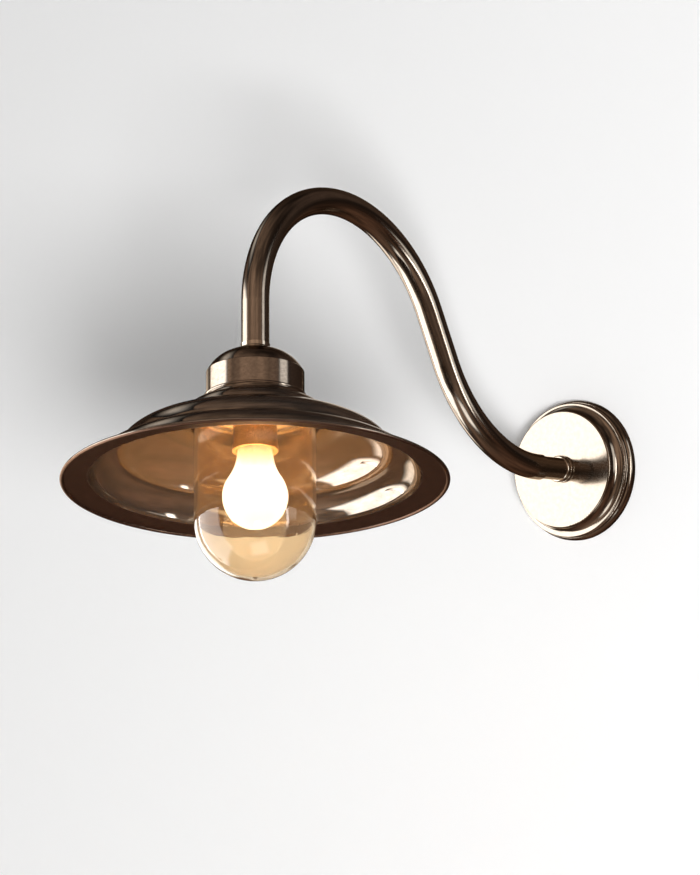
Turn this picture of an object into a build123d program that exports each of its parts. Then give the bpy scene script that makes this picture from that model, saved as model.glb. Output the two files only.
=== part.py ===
from build123d import *
from math import acos, asin, cos, degrees, radians, sin
import os

os.makedirs("parts", exist_ok=True)

# Gooseneck wall sconce. Millimetres. The wall is the plane Y = 0, the sconce reaches
# towards -Y, and +Z is up. The origin is the centre of the mounting plate's back face.
# "Depth" is measured off the wall along -Y. "Height" is measured up the lamp axis
# from the plane of the shade's rim.

# ---- driving dimensions: arm ----
tube_diameter = 26.0
tube_wall = 1.5
bend_radius = 137.5  # one bending former makes both bends
rise_angle = 72.4  # turn of the reverse bend, from level to the climbing run
climb_length = 54.4  # straight run between the two bends
head_tilt = 10.5  # lean of the lamp axis from the vertical
drop_length = 49.0  # straight run of the tube above the cap
foot_tangent = 3.0  # straight end of the tube at the stub
stub_length = 38.0  # stub showing between the canopy face and the tube
stub_wall = 2.1
stub_insert = 10.0  # stub hidden inside the tube
stub_nose_relief = 0.6  # the hidden nose is thinner, to enter the bend
fit_gap = 0.05  # radial clearance of pieces that slide or screw together
loose_gap = 0.3  # clearance between pieces that only pass each other
cutter_overrun = 2.0  # how far a cut runs past what it cuts

# ---- driving dimensions: wall side ----
plate_radius = 60.0
plate_thickness = 2.5
slot_spacing = 88.9  # screw spacing of a round 4 in wall box
slot_length = 12.0
slot_width = 4.8
cable_hole_radius = 9.0
cable_hole_drop = 47.0
earth_hole_depth = 1.2  # blind hole for the earth screw in the plate
socket_radius = 15.0
socket_height = 19.0
stub_start_depth = 12.0
window_width = 11.0
window_low_depth = 5.0
window_high_depth = 11.2
socket_screw_radius = 2.0
socket_screw_depth = 16.0
socket_key_radius = 1.0
canopy_depth = 29.0
canopy_skin = 1.2
canopy_face_radius = 59.4
canopy_edge_round = 1.6
canopy_edge_height = 2.8
canopy_step = 0.8
canopy_cove_inset = 4.4  # cove's foot, in from the canopy's outer edge
canopy_cove_depth = 14.5  # depth at which the cove ends and the beads begin
canopy_bead_height = 2.5
canopy_bead_swell = 1.4
canopy_ring_depth = 8.6
canopy_radius = 71.4
canopy_ring_band = 3.2
canopy_edge_chamfer = 0.6
washer_radius = 13.9
washer_thickness = 1.6
washer_edge_round = 0.5
collar_radius = 13.5
collar_groove = 1.0
collar_groove_radius = 12.3
collar_length = 5.2

# ---- driving dimensions: wiring ----
lead_radius = 1.1
lead_spacing = 2.6
lead_depth = 8.0
lead_bend = 7.5
block_width = 18.0
block_height = 13.0
block_length = 15.0
block_drop = 23.0
block_hole_radius = 1.5
block_screw_radius = 1.4
block_screw_setback = 3.5
block_screw_slot = 0.5
block_edge_round = 1.4
lead_in_block = 6.0
earth_rise = 27.0
earth_boss_radius = 5.0
earth_boss_height = 3.8
earth_screw_radius = 1.95
earth_head_radius = 3.6
earth_head_height = 2.6
earth_screw_slot = 1.0
tag_thickness = 0.8
tag_barrel_radius = 1.7
tag_barrel_length = 7.0

# ---- driving dimensions: shade ----
shade_radius = 177.8
shade_skin = 1.0
rim_bead_radius = 1.9
brim_lip_radius = 151.8
brim_lip_height = 3.7
step_two_radius = 125.7
step_two_height = 24.9
step_three_radius = 67.8
step_three_height = 54.4
neck_radius = 50.5
neck_height = 72.8  # underside of the shade's flat top
shade_hole_radius = 24.0

# ---- driving dimensions: cap and head collar ----
cap_skin = 1.2
cap_foot_edge = 1.4
cap_moulding_radius = 47.0
cap_moulding_height = 6.2
cap_moulding_swell = 0.6
cap_band_radius = 45.3
cap_band_start = 9.1
cap_band_height = 23.2
cap_band_edge = 0.6  # broken edge between the band and the dome
cap_dome_height = 20.1
cap_dome_bulge = 3.4
cap_dome_inset = 0.84  # inner dome from the outer, down and in, at its middle
cap_top_inset = 0.4  # the same at the flat top
cap_top_radius = 14.6
cap_flange_radius = 33.5
head_collar_radius = 14.4
head_collar_height = 7.2
head_collar_bead = 3.6  # height of the bead at the collar's foot
head_collar_wall = 0.6

# ---- driving dimensions: stem and lampholder ----
nipple_radius = 6.6
nipple_bore_radius = 4.2
nipple_in_plug = 12.0
plug_length = 14.0
nut_across_flats = 20.0
nut_thickness = 4.0
holder_radius = 20.25
holder_wall = 1.0
holder_rise = 0.2  # top of the shell above the shade's top
holder_length = 43.2
holder_ring_radius = 21.2
holder_ring_length = 5.0
holder_ring_lip = 1.2
holder_mouth_radius = 17.6
holder_cap_shoulder = 3.0
holder_cap_rise = 6.5
holder_boss_radius = 10.5
holder_boss_height = 6.5
core_radius = 18.7
core_inset = 2.0  # top of the core below the shell's top
core_length = 31.0
core_roof = 4.8  # porcelain over the recess
shell_wall = 0.5
shell_inset = 1.2  # top of the screw shell below the recess's roof
shell_length = 23.0
contact_radius = 4.0
contact_thickness = 0.9
contact_rivet_radius = 2.0
contact_room = 3.2  # from the recess's roof to the bulb's tip

# ---- driving dimensions: gallery and glass ----
gallery_hole_radius = 22.5
gallery_plate = 2.0
gallery_flat_radius = 46.0
gallery_drop = 3.6
gallery_skirt_radius = 60.0
gallery_skirt_wall = 1.5
gallery_skirt_length = 4.6
gallery_screw_circle = 39.5
gallery_screw_count = 3
gallery_screw_radius = 1.95
gallery_head_radius = 3.5
gallery_head_height = 2.4
gallery_screw_slot = 1.0
gallery_nut_flats = 7.0
gallery_nut_height = 3.2
gasket_thickness = 2.0
gasket_inner_radius = 51.4
gasket_outer_radius = 57.8
glass_radius = 55.7
glass_wall = 2.8
glass_lip_radius = 58.0
glass_lip_height = 3.0
glass_side_length = 101.8  # from the top of the lip to the start of the round bottom
glass_bottom_depth = 55.0
glass_shoulder_radius = 46.0
ring_wall = 1.8
ring_shelf = 2.8
ring_grip_length = 6.6
ring_grip_radius = 59.0
ring_thread_overlap = 3.0
ring_flute_count = 36
ring_flute_depth = 0.6
ring_flute_radius = 1.2

# ---- driving dimensions: bulb ----
bulb_radius = 30.0
bulb_length = 108.0
bulb_side_angle = 35.0  # where the round part gives way to the neck
bulb_neck_curve = 44.8
bulb_neck_turn = 31.0
bulb_neck_length = 5.0
bulb_glass_wall = 0.9
bulb_cap_radius = 13.0
bulb_cap_wall = 0.4
bulb_cap_length = 21.0
bulb_cap_shoulder = 1.6
bulb_cap_crown = 2.0
bulb_insulator_radius = 5.6
bulb_insulator_height = 2.6
bulb_insulator_foot = 7.2
bulb_contact_radius = 4.6
bulb_contact_height = 1.2
bulb_seat_radius = 12.3
bulb_seat_length = 9.0
stem_radius = 2.4
stem_flare_radius = 10.0
stem_flare_height = 8.0
stem_length = 32.0
filament_ring_radius = 9.0
filament_wire_radius = 0.4
filament_drop = 10.0
filament_gap_angle = 60.0
support_embed = 1.5  # length of each support sealed in the stem
support_offset = 1.2  # of each support's end from the stem's middle

# ---- worked out from the driving dimensions ----
tube_bore = tube_diameter / 2 - tube_wall
stub_radius = tube_bore - fit_gap
stub_bore = stub_radius - stub_wall
sliding_bore = stub_radius + fit_gap
junction_y = -(canopy_depth + stub_length)
bend_y = junction_y - foot_tangent
arch_angle = 180 - head_tilt - (90 - rise_angle)

rise_direction = Vector(0, -cos(radians(rise_angle)), sin(radians(rise_angle)))
lamp_up = Vector(0, sin(radians(head_tilt)), cos(radians(head_tilt)))

shade_top = neck_height + shade_skin
cap_top = shade_top + cap_band_height + cap_band_start + cap_dome_height
holder_top_height = shade_top + holder_rise
holder_bottom_height = holder_top_height - holder_length
core_top_height = holder_top_height - core_inset
core_bottom_height = core_top_height - core_length
core_recess_height = core_top_height - core_roof
bulb_tip_height = core_recess_height - contact_room

with BuildLine(Plane.YZ) as arm_line:
    foot_run = Line((junction_y, 0), (bend_y, 0))
    rise_bend = JernArc(foot_run @ 1, foot_run % 1, bend_radius, -rise_angle)
    climb_run = Line(rise_bend @ 1, (rise_bend @ 1) + rise_direction * climb_length)
    arch_bend = JernArc(climb_run @ 1, climb_run % 1, bend_radius, arch_angle)
    drop_run = Line(arch_bend @ 1, (arch_bend @ 1) - lamp_up * drop_length)

tube_end = drop_run @ 1
rim_centre = tube_end - lamp_up * cap_top
lamp_axis = Axis(rim_centre, lamp_up)
lamp_profile = Plane(rim_centre, x_dir=(1, 0, 0), z_dir=(0, -lamp_up.Z, lamp_up.Y))


def lamp_plane(height):
    """Plane square to the lamp axis, at a height above the rim."""
    return Plane(rim_centre + lamp_up * height, x_dir=(1, 0, 0), z_dir=lamp_up)


def wall_plane(depth):
    """Plane parallel to the wall, at a depth, facing the room, with +Y of its sketch up."""
    return Plane((0, -depth, 0), x_dir=(1, 0, 0), z_dir=(0, -1, 0))


# ======== wall side ========

# Mounting plate: flat steel disc with two slots, a cable hole and a raised earth boss.
with BuildPart() as mounting_plate:
    with BuildSketch(wall_plane(0)):
        Circle(plate_radius)
        with Locations((-slot_spacing / 2, 0), (slot_spacing / 2, 0)):
            SlotOverall(slot_length, slot_width, mode=Mode.SUBTRACT)
        with Locations((0, -cable_hole_drop)):
            Circle(cable_hole_radius, mode=Mode.SUBTRACT)
    extrude(amount=plate_thickness)
    with BuildSketch(wall_plane(plate_thickness)):
        with Locations((0, earth_rise)):
            Circle(earth_boss_radius)
    extrude(amount=earth_boss_height)
    with BuildSketch(wall_plane(plate_thickness - earth_hole_depth)):
        with Locations((0, earth_rise)):
            Circle(earth_screw_radius + fit_gap)
    extrude(amount=earth_hole_depth + earth_boss_height, mode=Mode.SUBTRACT)
mounting_plate.part.label = "mounting_plate"
export_step(mounting_plate.part, "parts/mounting_plate.step")

# Arm socket: brass hub welded to the plate. The stub stands in its bore, and two
# windows let the leads out below and the earth lead out above.
with BuildPart() as arm_socket:
    with BuildSketch(wall_plane(plate_thickness)):
        Circle(socket_radius)
        Circle(sliding_bore, mode=Mode.SUBTRACT)
    extrude(amount=socket_height)
    with BuildSketch(wall_plane(window_low_depth)):
        Rectangle(window_width, 2 * socket_radius + cutter_overrun)
    extrude(amount=window_high_depth - window_low_depth, mode=Mode.SUBTRACT)
    with BuildSketch(Plane.YZ.offset(-socket_radius)):
        with Locations((-socket_screw_depth, 0)):
            Circle(socket_screw_radius + fit_gap)
    extrude(amount=2 * socket_radius, mode=Mode.SUBTRACT)
arm_socket.part.label = "arm_socket"
export_step(arm_socket.part, "parts/arm_socket.step")

# Socket screws: two grub screws that clamp the stub in its socket.
with BuildPart() as socket_screws:
    with BuildSketch(Plane.YZ.offset(stub_radius + fit_gap)):
        with Locations((-socket_screw_depth, 0)):
            Circle(socket_screw_radius)
            RegularPolygon(socket_key_radius, 6, mode=Mode.SUBTRACT)
    extrude(amount=socket_radius - stub_radius - 2 * fit_gap)
    mirror(about=Plane.YZ)
socket_screws.part.label = "socket_screws"
export_step(socket_screws.part, "parts/socket_screws.step")

# Arm stub: straight brass tube from the socket, through the canopy, into the arm.
nose_end = junction_y - stub_insert
with BuildPart() as arm_stub:
    with BuildSketch(Plane.XY):
        with BuildLine():
            Polyline(
                (stub_bore, -stub_start_depth),
                (stub_radius, -stub_start_depth),
                (stub_radius, bend_y),
                (stub_radius - stub_nose_relief, bend_y - stub_nose_relief),
                (stub_radius - stub_nose_relief, nose_end),
                (stub_bore, nose_end),
                close=True,
            )
        make_face()
    revolve(axis=Axis.Y)
arm_stub.part.label = "arm_stub"
export_step(arm_stub.part, "parts/arm_stub.step")

# Canopy: one spinning. A flat face with a rounded edge, a small step, a cove, two fine
# beads and a plain base ring that stands on the wall.
edge_y = -(canopy_depth - canopy_edge_height)
canopy_cove_radius = canopy_radius - canopy_cove_inset
canopy_bead_radius = canopy_cove_radius + canopy_bead_swell
step_radius = canopy_face_radius - canopy_step
cove_width = canopy_cove_radius - step_radius
cove_rise = -edge_y - canopy_cove_depth
cove_end_y = -canopy_cove_depth
bead_mid_y = cove_end_y + canopy_bead_height
ring_y = -canopy_ring_depth
inner_wall_radius = canopy_cove_radius - canopy_skin
inner_cove_angle = degrees(acos(-canopy_skin / (cove_width + canopy_skin)))
canopy_cove_centre = (canopy_cove_radius, edge_y)
with BuildPart() as canopy:
    with BuildSketch(Plane.XY):
        with BuildLine():
            Line((sliding_bore, -canopy_depth), (canopy_face_radius - canopy_edge_round, -canopy_depth))
            RadiusArc(
                (canopy_face_radius - canopy_edge_round, -canopy_depth),
                (canopy_face_radius, -canopy_depth + canopy_edge_round),
                -canopy_edge_round,
            )
            Polyline(
                (canopy_face_radius, -canopy_depth + canopy_edge_round),
                (canopy_face_radius, edge_y),
                (step_radius, edge_y),
            )
            EllipticalCenterArc(canopy_cove_centre, cove_width, cove_rise, start_angle=90)
            ThreePointArc(
                (canopy_cove_radius, cove_end_y),
                (canopy_bead_radius, cove_end_y + canopy_bead_height / 2),
                (canopy_cove_radius + canopy_step / 2, bead_mid_y),
            )
            ThreePointArc(
                (canopy_cove_radius + canopy_step / 2, bead_mid_y),
                (canopy_bead_radius + canopy_step / 2, bead_mid_y + canopy_bead_height / 2),
                (canopy_cove_radius + canopy_step, ring_y),
            )
            Line(
                (canopy_cove_radius + canopy_step, ring_y),
                (canopy_bead_radius + canopy_step, ring_y),
            )
            ThreePointArc(
                (canopy_bead_radius + canopy_step, ring_y),
                (canopy_radius - canopy_step / 2, -(canopy_ring_band + canopy_ring_depth) / 2),
                (canopy_radius, -canopy_ring_band),
            )
            Polyline(
                (canopy_radius, -canopy_ring_band),
                (canopy_radius, -canopy_edge_chamfer),
                (canopy_radius - canopy_edge_chamfer, 0),
                (canopy_radius - canopy_skin - canopy_edge_chamfer, 0),
                (canopy_radius - canopy_skin - canopy_edge_chamfer, -canopy_ring_band),
                (inner_wall_radius, ring_y + canopy_skin),
                (
                    inner_wall_radius,
                    edge_y + (cove_rise + canopy_skin) * sin(radians(inner_cove_angle)),
                ),
            )
            EllipticalCenterArc(
                canopy_cove_centre,
                cove_width + canopy_skin,
                cove_rise + canopy_skin,
                start_angle=inner_cove_angle,
                arc_size=180 - inner_cove_angle,
            )
            Polyline(
                (step_radius - canopy_skin, edge_y),
                (step_radius - canopy_skin, -canopy_depth + canopy_skin),
                (sliding_bore, -canopy_depth + canopy_skin),
                (sliding_bore, -canopy_depth),
            )
        make_face()
    revolve(axis=Axis.Y)
canopy.part.label = "canopy"
export_step(canopy.part, "parts/canopy.step")

# Canopy washer: thin ring on the canopy face, with its front edge broken.
with BuildPart() as canopy_washer:
    with BuildSketch(wall_plane(canopy_depth)):
        Circle(washer_radius)
        Circle(sliding_bore, mode=Mode.SUBTRACT)
    extrude(amount=washer_thickness)
    fillet(canopy_washer.edges().group_by(Axis.Y)[0].sort_by(SortBy.RADIUS)[-1], washer_edge_round)
canopy_washer.part.label = "canopy_washer"
export_step(canopy_washer.part, "parts/canopy_washer.step")

# Lock collar: round-edged ring that screws along the stub and holds the canopy to the wall.
collar_y = -(canopy_depth + washer_thickness)
with BuildPart() as lock_collar:
    with BuildSketch(Plane.XY):
        with BuildLine():
            Polyline(
                (sliding_bore, collar_y),
                (collar_groove_radius, collar_y),
                (collar_groove_radius, collar_y - collar_groove),
            )
            ThreePointArc(
                (collar_groove_radius, collar_y - collar_groove),
                (collar_radius, collar_y - (collar_groove + collar_length) / 2),
                (collar_groove_radius, collar_y - collar_length),
            )
            Polyline(
                (collar_groove_radius, collar_y - collar_length),
                (sliding_bore, collar_y - collar_length),
                (sliding_bore, collar_y),
            )
        make_face()
    revolve(axis=Axis.Y)
lock_collar.part.label = "lock_collar"
export_step(lock_collar.part, "parts/lock_collar.step")

# Terminal block: porcelain block on the plate, with two wire ways and four screw wells.
block_centre_z = -(block_drop + block_length / 2)
screw_reach = block_length / 2 - block_screw_setback
with BuildPart() as terminal_block:
    with BuildSketch(wall_plane(plate_thickness)):
        with Locations((0, block_centre_z)):
            Rectangle(block_width, block_length)
    extrude(amount=block_height)
    fillet(terminal_block.edges().filter_by(Axis.Y), block_edge_round)
    with BuildSketch(Plane.XY.offset(-block_drop)):
        with Locations((-lead_spacing, -lead_depth), (lead_spacing, -lead_depth)):
            Circle(block_hole_radius)
    extrude(amount=-block_length, mode=Mode.SUBTRACT)
    with BuildSketch(wall_plane(lead_depth)):
        with Locations((0, block_centre_z)):
            with GridLocations(2 * lead_spacing, 2 * screw_reach, 2, 2):
                Circle(block_screw_radius + fit_gap)
    extrude(amount=block_height, mode=Mode.SUBTRACT)
terminal_block.part.label = "terminal_block"
export_step(terminal_block.part, "parts/terminal_block.step")

# Terminal screws: four slotted clamp screws in the block's wells.
with BuildPart() as terminal_screws:
    with BuildSketch(wall_plane(lead_depth + lead_radius + fit_gap)):
        with Locations((0, block_centre_z)):
            with GridLocations(2 * lead_spacing, 2 * screw_reach, 2, 2):
                Circle(block_screw_radius)
    extrude(amount=block_height - lead_depth)
    with BuildSketch(wall_plane(block_height)):
        with Locations((0, block_centre_z)):
            with GridLocations(2 * lead_spacing, 2 * screw_reach, 2, 2):
                Rectangle(block_screw_slot, 2 * block_screw_radius + cutter_overrun)
    extrude(amount=block_height, mode=Mode.SUBTRACT)
terminal_screws.part.label = "terminal_screws"
export_step(terminal_screws.part, "parts/terminal_screws.step")

# Earth tag: ring terminal on the boss, with a barrel that holds the earth lead.
boss_face = plate_thickness + earth_boss_height
barrel_top_z = earth_rise - earth_head_radius - loose_gap
barrel_end_z = barrel_top_z - tag_barrel_length
with BuildPart() as earth_tag:
    with BuildSketch(wall_plane(boss_face)):
        with Locations((0, earth_rise)):
            Circle(earth_boss_radius)
        with Locations((0, (earth_rise + barrel_end_z) / 2)):
            Rectangle(2 * tag_barrel_radius, earth_rise - barrel_end_z)
        with Locations((0, earth_rise)):
            Circle(earth_screw_radius + fit_gap, mode=Mode.SUBTRACT)
    extrude(amount=tag_thickness)
    with BuildSketch(Plane.XY.offset(barrel_end_z)):
        with Locations((0, -lead_depth)):
            Circle(tag_barrel_radius)
    extrude(amount=tag_barrel_length)
    with BuildSketch(Plane.XY.offset(barrel_end_z)):
        with Locations((0, -lead_depth)):
            Circle(lead_radius + fit_gap)
    extrude(amount=tag_barrel_length, mode=Mode.SUBTRACT)
earth_tag.part.label = "earth_tag"
export_step(earth_tag.part, "parts/earth_tag.step")

# Earth screw: round-headed screw with a slot, through the tag into the boss.
with BuildPart() as earth_screw:
    with BuildSketch(wall_plane(plate_thickness)):
        with Locations((0, earth_rise)):
            Circle(earth_screw_radius)
    extrude(amount=earth_boss_height + tag_thickness)
    with BuildSketch(wall_plane(boss_face + tag_thickness)):
        with Locations((0, earth_rise)):
            Circle(earth_head_radius)
    extrude(amount=earth_head_height)
    fillet(earth_screw.edges().group_by(Axis.Y)[0], earth_head_height / 2)
    with BuildSketch(wall_plane(boss_face + tag_thickness + earth_head_height / 2)):
        with Locations((0, earth_rise)):
            Rectangle(earth_screw_slot, 2 * earth_head_radius + cutter_overrun)
    extrude(amount=earth_head_height, mode=Mode.SUBTRACT)
earth_screw.part.label = "earth_screw"
export_step(earth_screw.part, "parts/earth_screw.step")

# ======== arm ========

# Arm tube: one length of tube, bent up out of the wall and over the lamp.
with BuildPart() as arm_tube:
    add(arm_line.line)
    with BuildSketch(Plane(foot_run @ 0, x_dir=(1, 0, 0), z_dir=foot_run % 0)):
        Circle(tube_diameter / 2)
        Circle(tube_bore, mode=Mode.SUBTRACT)
    sweep()
arm_tube.part.label = "arm_tube"
export_step(arm_tube.part, "parts/arm_tube.step")

# Leads: three insulated wires side by side in the tube, from the wall side to the
# lampholder. Live and neutral drop to the terminal block, and earth rises to its tag.
holder_lead_height = core_top_height + loose_gap
earth_lead_height = holder_top_height + holder_cap_shoulder


def lead(offset, start_z, turn, end_height):
    """Insulated wire in the plane X = offset, along the arm's own line."""
    side = Plane.YZ.offset(offset)
    lamp_end = side.to_local_coords(rim_centre + lamp_up * end_height)
    with BuildPart() as wire:
        with BuildLine(side):
            riser = Line((-lead_depth, start_z), (-lead_depth, -turn * lead_bend))
            JernArc(riser @ 1, riser % 1, lead_bend, turn * 90)
            Line((-lead_depth - lead_bend, 0), (bend_y, 0))
            up = JernArc((bend_y, 0), (-1, 0), bend_radius, -rise_angle)
            run = Line(up @ 1, (up @ 1) + rise_direction * climb_length)
            over = JernArc(run @ 1, run % 1, bend_radius, arch_angle)
            Line(over @ 1, side.from_local_coords(Vector(lamp_end.X, lamp_end.Y, 0)))
        with BuildSketch(Plane(riser @ 0, x_dir=(1, 0, 0), z_dir=riser % 0)):
            Circle(lead_radius)
        sweep()
    return wire.part


block_lead_start = -(block_drop + lead_in_block)
tag_lead_start = barrel_top_z
lead_live = lead(lead_spacing, block_lead_start, 1, holder_lead_height)
lead_live.label = "lead_live"
export_step(lead_live, "parts/lead_live.step")
lead_neutral = lead(-lead_spacing, block_lead_start, 1, holder_lead_height)
lead_neutral.label = "lead_neutral"
export_step(lead_neutral, "parts/lead_neutral.step")
lead_earth = lead(0, tag_lead_start, -1, earth_lead_height)
lead_earth.label = "lead_earth"
export_step(lead_earth, "parts/lead_earth.step")

# Tube plug: brass plug brazed into the tube's lower end, threaded for the nipple.
with BuildPart() as tube_plug:
    with BuildSketch(lamp_plane(cap_top)):
        Circle(tube_bore - fit_gap)
        Circle(nipple_radius + fit_gap, mode=Mode.SUBTRACT)
    extrude(amount=plug_length)
tube_plug.part.label = "tube_plug"
export_step(tube_plug.part, "parts/tube_plug.step")

# Head collar: turned bead round the tube's end, standing on the cap.
collar_waist = tube_diameter / 2 + fit_gap + head_collar_wall
with BuildPart() as head_collar:
    with BuildSketch(lamp_profile):
        with BuildLine():
            Line((tube_diameter / 2 + fit_gap, cap_top), (collar_waist, cap_top))
            ThreePointArc(
                (collar_waist, cap_top),
                (head_collar_radius, cap_top + head_collar_bead / 2),
                (collar_waist, cap_top + head_collar_bead),
            )
            Polyline(
                (collar_waist, cap_top + head_collar_bead),
                (collar_waist, cap_top + head_collar_height),
                (tube_diameter / 2 + fit_gap, cap_top + head_collar_height),
                (tube_diameter / 2 + fit_gap, cap_top),
            )
        make_face()
    revolve(axis=lamp_axis)
head_collar.part.label = "head_collar"
export_step(head_collar.part, "parts/head_collar.step")

# ======== cap, stem and lampholder ========

# Cap: spun dome on a plain band, with a moulded foot and an inward flange for the screws.
band_start = shade_top + cap_band_start
band_end = band_start + cap_band_height
foot_top = shade_top + cap_foot_edge
moulding_start = shade_top + cap_moulding_height
dome_mid_radius = (cap_band_radius + cap_top_radius) / 2 + cap_dome_bulge
dome_mid_height = (band_end + cap_top) / 2 + cap_dome_bulge
with BuildPart() as cap:
    with BuildSketch(lamp_profile):
        with BuildLine():
            Line((neck_radius, shade_top), (neck_radius, foot_top))
            EllipticalCenterArc(
                (neck_radius, moulding_start),
                neck_radius - cap_moulding_radius,
                moulding_start - foot_top,
                start_angle=180,
            )
            ThreePointArc(
                (cap_moulding_radius, moulding_start),
                (cap_moulding_radius + cap_moulding_swell, (moulding_start + band_start) / 2),
                (cap_moulding_radius - cap_moulding_swell, band_start),
            )
            Polyline(
                (cap_moulding_radius - cap_moulding_swell, band_start),
                (cap_band_radius, band_start),
                (cap_band_radius, band_end - cap_band_edge),
                (cap_band_radius - cap_band_edge, band_end),
            )
            ThreePointArc(
                (cap_band_radius - cap_band_edge, band_end),
                (dome_mid_radius, dome_mid_height),
                (cap_top_radius, cap_top),
            )
            Polyline(
                (cap_top_radius, cap_top),
                (nipple_radius + fit_gap, cap_top),
                (nipple_radius + fit_gap, cap_top - cap_skin),
                (cap_top_radius - cap_top_inset, cap_top - cap_skin),
            )
            ThreePointArc(
                (cap_top_radius - cap_top_inset, cap_top - cap_skin),
                (dome_mid_radius - cap_dome_inset, dome_mid_height - cap_dome_inset),
                (cap_band_radius - cap_skin, band_end - cap_skin),
            )
            Polyline(
                (cap_band_radius - cap_skin, band_end - cap_skin),
                (cap_band_radius - cap_skin, shade_top + cap_skin),
                (cap_flange_radius, shade_top + cap_skin),
                (cap_flange_radius, shade_top),
                (neck_radius, shade_top),
            )
        make_face()
    revolve(axis=lamp_axis)
    with BuildSketch(lamp_plane(shade_top)):
        with PolarLocations(gallery_screw_circle, gallery_screw_count):
            Circle(gallery_screw_radius + fit_gap)
    extrude(amount=cap_skin, mode=Mode.SUBTRACT)
cap.part.label = "cap"
export_step(cap.part, "parts/cap.step")

# Nipple: hollow threaded rod that hangs the cap and the lampholder from the tube.
boss_top = holder_top_height + holder_cap_shoulder + holder_cap_rise + holder_boss_height
nipple_bottom = boss_top - holder_boss_height
nipple_top = cap_top + nipple_in_plug
with BuildPart() as nipple:
    with BuildSketch(lamp_plane(nipple_bottom)):
        Circle(nipple_radius)
        Circle(nipple_bore_radius, mode=Mode.SUBTRACT)
    extrude(amount=nipple_top - nipple_bottom)
nipple.part.label = "nipple"
export_step(nipple.part, "parts/nipple.step")


def nipple_nut(bottom_height):
    """Hexagonal locknut on the nipple."""
    with BuildPart() as nut:
        with BuildSketch(lamp_plane(bottom_height)):
            RegularPolygon(nut_across_flats / 2, 6, major_radius=False)
            Circle(nipple_radius + fit_gap, mode=Mode.SUBTRACT)
        extrude(amount=nut_thickness)
    return nut.part


cap_nut = nipple_nut(cap_top - cap_skin - nut_thickness)
cap_nut.label = "cap_nut"
export_step(cap_nut, "parts/cap_nut.step")
holder_nut = nipple_nut(boss_top)
holder_nut.label = "holder_nut"
export_step(holder_nut, "parts/holder_nut.step")

# Lampholder cap: dome with a threaded boss that screws onto the nipple.
shoulder_top = holder_top_height + holder_cap_shoulder
dome_top = shoulder_top + holder_cap_rise
with BuildPart() as lampholder_cap:
    with BuildSketch(lamp_profile):
        with BuildLine():
            Line((holder_radius, holder_top_height), (holder_radius, shoulder_top))
            EllipticalCenterArc(
                (holder_boss_radius, shoulder_top),
                holder_radius - holder_boss_radius,
                holder_cap_rise,
            )
            Polyline(
                (holder_boss_radius, dome_top),
                (holder_boss_radius, boss_top),
                (nipple_radius + fit_gap, boss_top),
                (nipple_radius + fit_gap, dome_top - holder_wall),
                (holder_boss_radius, dome_top - holder_wall),
            )
            EllipticalCenterArc(
                (holder_boss_radius, shoulder_top),
                holder_radius - holder_boss_radius - holder_wall,
                holder_cap_rise - holder_wall,
            )
            Polyline(
                (holder_radius - holder_wall, shoulder_top),
                (holder_radius - holder_wall, holder_top_height),
                (holder_radius, holder_top_height),
            )
        make_face()
    revolve(axis=lamp_axis)
lampholder_cap.part.label = "lampholder_cap"
export_step(lampholder_cap.part, "parts/lampholder_cap.step")

# Lampholder shell: plain drawn cylinder round the porcelain core.
with BuildPart() as lampholder_shell:
    with BuildSketch(lamp_plane(holder_bottom_height)):
        Circle(holder_radius)
        Circle(holder_radius - holder_wall, mode=Mode.SUBTRACT)
    extrude(amount=holder_top_height - holder_bottom_height)
lampholder_shell.part.label = "lampholder_shell"
export_step(lampholder_shell.part, "parts/lampholder_shell.step")

# Lampholder ring: screwed over the shell's lower end, with an inward lip.
ring_bottom = holder_bottom_height - holder_ring_lip
with BuildPart() as lampholder_ring:
    with BuildSketch(lamp_plane(ring_bottom)):
        Circle(holder_ring_radius)
        Circle(holder_mouth_radius, mode=Mode.SUBTRACT)
    extrude(amount=holder_ring_lip)
    with BuildSketch(lamp_plane(holder_bottom_height)):
        Circle(holder_ring_radius)
        Circle(holder_radius + fit_gap, mode=Mode.SUBTRACT)
    extrude(amount=holder_ring_length - holder_ring_lip)
lampholder_ring.part.label = "lampholder_ring"
export_step(lampholder_ring.part, "parts/lampholder_ring.step")

# Lampholder core: glazed porcelain cup that insulates the screw shell.
shell_radius = bulb_cap_radius + loose_gap + shell_wall
shell_bottom_height = core_recess_height - shell_inset - shell_length
with BuildPart() as lampholder_core:
    with BuildSketch(lamp_plane(core_bottom_height)):
        Circle(core_radius)
        Circle(shell_radius + fit_gap, mode=Mode.SUBTRACT)
    extrude(amount=core_recess_height - core_bottom_height)
    with BuildSketch(lamp_plane(core_recess_height)):
        Circle(core_radius)
    extrude(amount=core_top_height - core_recess_height)
lampholder_core.part.label = "lampholder_core"
export_step(lampholder_core.part, "parts/lampholder_core.step")

# Screw shell: thin brass sleeve that takes the bulb's screw cap.
with BuildPart() as screw_shell:
    with BuildSketch(lamp_plane(shell_bottom_height)):
        Circle(shell_radius)
        Circle(shell_radius - shell_wall, mode=Mode.SUBTRACT)
    extrude(amount=shell_length)
screw_shell.part.label = "screw_shell"
export_step(screw_shell.part, "parts/screw_shell.step")

# Centre contact: brass button on a rivet in the top of the core.
contact_bottom = bulb_tip_height + loose_gap / 2
with BuildPart() as centre_contact:
    with BuildSketch(lamp_plane(contact_bottom)):
        Circle(contact_radius)
    extrude(amount=contact_thickness)
    with BuildSketch(lamp_plane(contact_bottom + contact_thickness)):
        Circle(contact_rivet_radius)
    extrude(amount=core_recess_height - contact_bottom - contact_thickness)
centre_contact.part.label = "centre_contact"
export_step(centre_contact.part, "parts/centre_contact.step")

# ======== shade and gallery ========

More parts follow.
